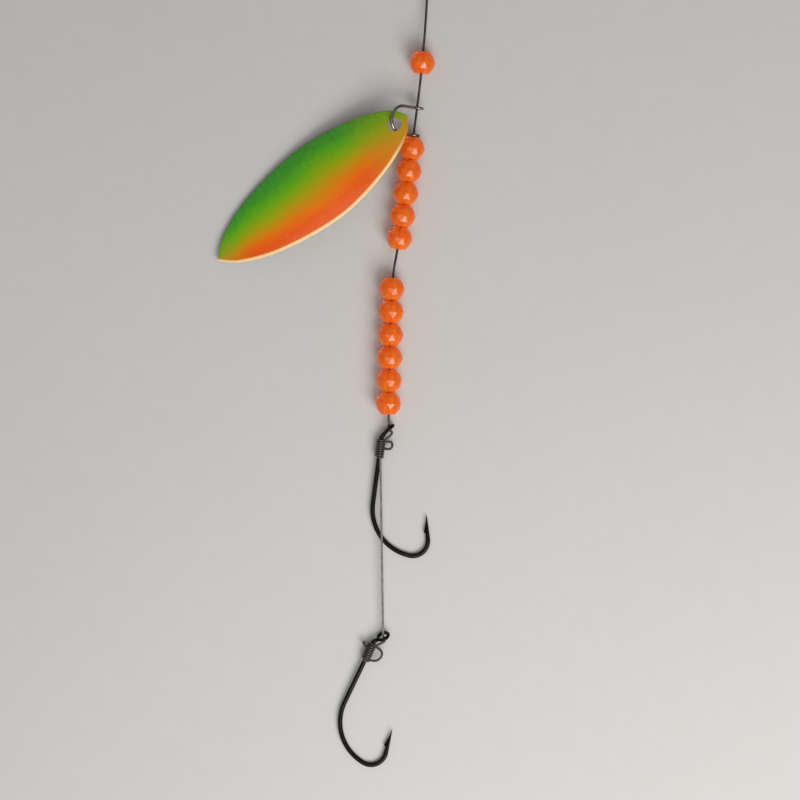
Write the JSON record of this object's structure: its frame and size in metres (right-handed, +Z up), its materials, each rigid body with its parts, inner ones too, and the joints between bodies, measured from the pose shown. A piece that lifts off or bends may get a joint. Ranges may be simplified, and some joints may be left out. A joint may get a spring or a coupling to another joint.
{
  "type": "spinner rig",
  "caption": "Spinner rig laid flat: willow-leaf blade on a wire clevis, faceted bead stacks and tandem snelled hooks on a coiled leader.",
  "frame": {"origin": "on the table under the middle of the rig without its leader line", "axes": "+Y up the leader towards the rod, +X towards the hook points, +Z up from the table"},
  "size_m": [0.0696, 0.1703, 0.0063],
  "materials": {
    "bead": "clear fluorescent orange, faceted",
    "clevis_wire": "bright nickel wire",
    "blade_paint": "green to orange gloss paint on metal",
    "hook_steel": "black nickel",
    "leader_mono": "dark smoke monofilament",
    "trailer_mono": "clear grey monofilament",
    "tie_tape": "white paper tape"
  },
  "bodies": {
    "leader": {"leader_line": "leader_mono", "leader_coil": "leader_mono", "leader_tail": "leader_mono", "coil_tie": "tie_tape", "loop_knot": "leader_mono", "end_loop": "leader_mono"},
    "top_bead": {"top_bead": "bead"},
    "upper_bead_1": {"upper_bead_1": "bead"},
    "upper_bead_2": {"upper_bead_2": "bead"},
    "upper_bead_3": {"upper_bead_3": "bead"},
    "upper_bead_4": {"upper_bead_4": "bead"},
    "upper_bead_5": {"upper_bead_5": "bead"},
    "lower_bead_1": {"lower_bead_1": "bead"},
    "lower_bead_2": {"lower_bead_2": "bead"},
    "lower_bead_3": {"lower_bead_3": "bead"},
    "lower_bead_4": {"lower_bead_4": "bead"},
    "lower_bead_5": {"lower_bead_5": "bead"},
    "lower_bead_6": {"lower_bead_6": "bead"},
    "clevis": {"clevis": "clevis_wire"},
    "blade": {"blade": "blade_paint"},
    "front_hook": {"front_hook": "hook_steel", "front_snell": "leader_mono"},
    "trailer": {"trailer_line": "trailer_mono"},
    "rear_hook": {"rear_hook": "hook_steel", "rear_snell": "leader_mono"}
  },
  "joints": [
    {"name": "top_bead_slide", "type": "slide", "parent": "leader", "child": "top_bead", "axis": [-0.1004, -0.9949, 0], "range_m": [-0.0012, 0.0035]},
    {"name": "upper_stack_slide", "type": "slide", "parent": "leader", "child": "upper_bead_5", "axis": [-0.1367, -0.9906, 0], "range_m": [-0.001, 0.0036]},
    {"name": "upper_bead_1_spin", "type": "hinge", "parent": "upper_bead_5", "child": "upper_bead_1", "pos_m": [0.0157, 0.04807, 0.00245], "axis": [0.1367, 0.9906, 0], "continuous": true},
    {"name": "upper_bead_2_spin", "type": "hinge", "parent": "upper_bead_5", "child": "upper_bead_2", "pos_m": [0.01513, 0.04392, 0.00245], "axis": [0.1367, 0.9906, 0], "continuous": true},
    {"name": "upper_bead_3_spin", "type": "hinge", "parent": "upper_bead_5", "child": "upper_bead_3", "pos_m": [0.01455, 0.03977, 0.00245], "axis": [0.1367, 0.9906, 0], "continuous": true},
    {"name": "upper_bead_4_spin", "type": "hinge", "parent": "upper_bead_5", "child": "upper_bead_4", "pos_m": [0.01398, 0.03562, 0.00245], "axis": [0.1367, 0.9906, 0], "continuous": true},
    {"name": "clevis_spin", "type": "hinge", "parent": "upper_bead_5", "child": "clevis", "pos_m": [0.01638, 0.05301, 0.00245], "axis": [0.1367, 0.9906, 0], "continuous": true},
    {"name": "blade_swing", "type": "hinge", "parent": "clevis", "child": "blade", "pos_m": [0.0125, 0.05224, 0.00544], "axis": [-0.1482, 0.2189, 0.9644], "range_deg": [-30, 35]},
    {"name": "lower_stack_slide", "type": "slide", "parent": "leader", "child": "lower_bead_6", "axis": [-0.0278, -0.9996, 0], "range_m": [-0.0009, 0.0008]},
    {"name": "lower_bead_1_spin", "type": "hinge", "parent": "lower_bead_6", "child": "lower_bead_1", "pos_m": [0.01196, 0.02216, 0.00245], "axis": [0.0278, 0.9996, 0], "continuous": true},
    {"name": "lower_bead_2_spin", "type": "hinge", "parent": "lower_bead_6", "child": "lower_bead_2", "pos_m": [0.01185, 0.01793, 0.00245], "axis": [0.0278, 0.9996, 0], "continuous": true},
    {"name": "lower_bead_3_spin", "type": "hinge", "parent": "lower_bead_6", "child": "lower_bead_3", "pos_m": [0.01173, 0.0137, 0.00245], "axis": [0.0278, 0.9996, 0], "continuous": true},
    {"name": "lower_bead_4_spin", "type": "hinge", "parent": "lower_bead_6", "child": "lower_bead_4", "pos_m": [0.01161, 0.00947, 0.00245], "axis": [0.0278, 0.9996, 0], "continuous": true},
    {"name": "lower_bead_5_spin", "type": "hinge", "parent": "lower_bead_6", "child": "lower_bead_5", "pos_m": [0.0115, 0.00524, 0.00245], "axis": [0.0278, 0.9996, 0], "continuous": true},
    {"name": "front_hook_swing", "type": "hinge", "parent": "leader", "child": "front_hook", "pos_m": [0.01148, -0.0037, 0.00135], "axis": [0, 0, 1], "range_deg": [-75, 9]},
    {"name": "trailer_swing", "type": "hinge", "parent": "front_hook", "child": "trailer", "pos_m": [0.00991, -0.00919, 0.00183], "axis": [0, 0, 1], "range_deg": [-25, 40]},
    {"name": "rear_hook_swing", "type": "hinge", "parent": "trailer", "child": "rear_hook", "pos_m": [0.0104, -0.042, 0.00135], "axis": [0, 0, 1], "range_deg": [-68, 20]}
  ]
}
